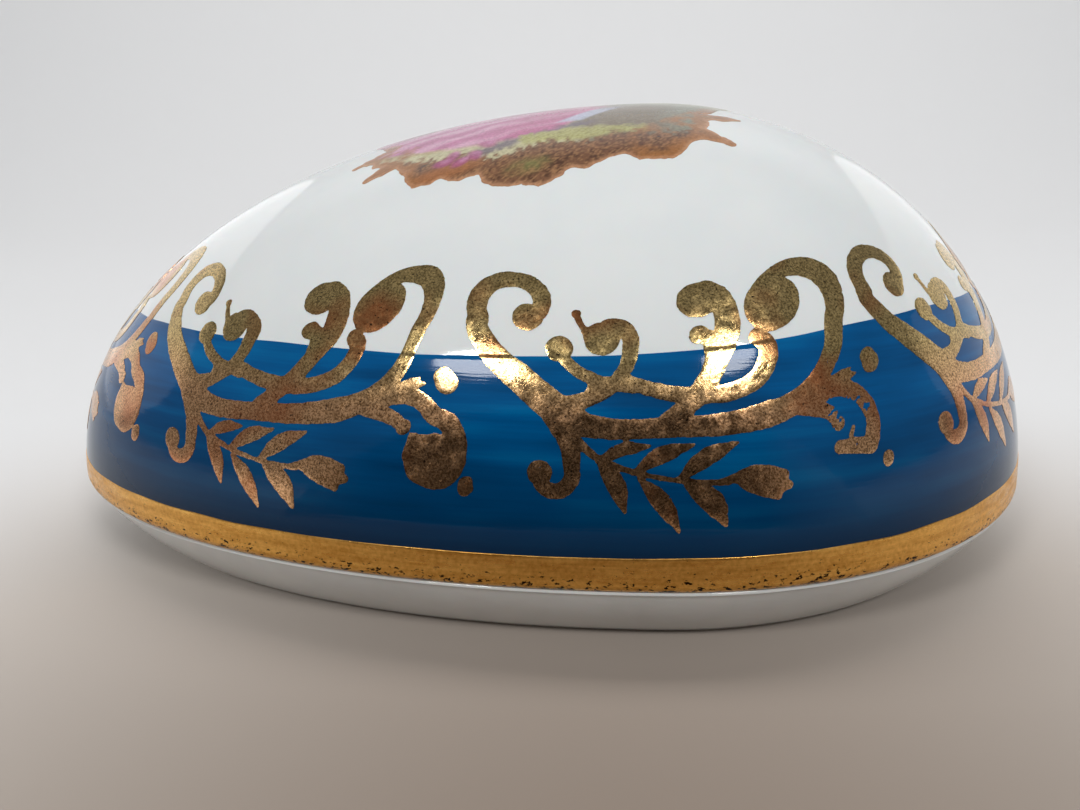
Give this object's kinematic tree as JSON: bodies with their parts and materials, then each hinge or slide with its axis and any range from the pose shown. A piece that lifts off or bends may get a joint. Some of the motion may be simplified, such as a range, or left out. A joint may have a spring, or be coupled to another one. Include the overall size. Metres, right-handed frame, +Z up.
{
  "type": "trinket box",
  "caption": "Egg-shaped glazed porcelain trinket box: a shallow footed dish with an upstanding ring, and a domed lid with a blue ground and gilding that lifts straight off.",
  "frame": {"origin": "on the surface that the box stands on, under the middle of its length and width", "axes": "+X along the box to its blunt end, +Y across it, +Z up through the lid"},
  "size_m": [0.1, 0.073, 0.0427],
  "materials": {
    "porcelain": "clear glossy glaze over cool white hard-paste porcelain",
    "blue_ground": "glossy brushed-on cerulean to cobalt blue ground under the glaze",
    "gilding": "fired liquid gold, satin to bright, worn and pitted along the edges",
    "painted_picture": "glossy overglaze colours, flowers and foliage in pink, olive and brown"
  },
  "bodies": {
    "dish": {"base_dish": "porcelain"},
    "lid": {"lid_shell": "porcelain", "lid_gilt_band": "gilding", "lid_blue_ground": "blue_ground"}
  },
  "joints": [
    {"name": "lid_lift", "type": "slide", "parent": "dish", "child": "lid", "axis": [0, 0, 1], "range_m": [0, 0.05]}
  ]
}
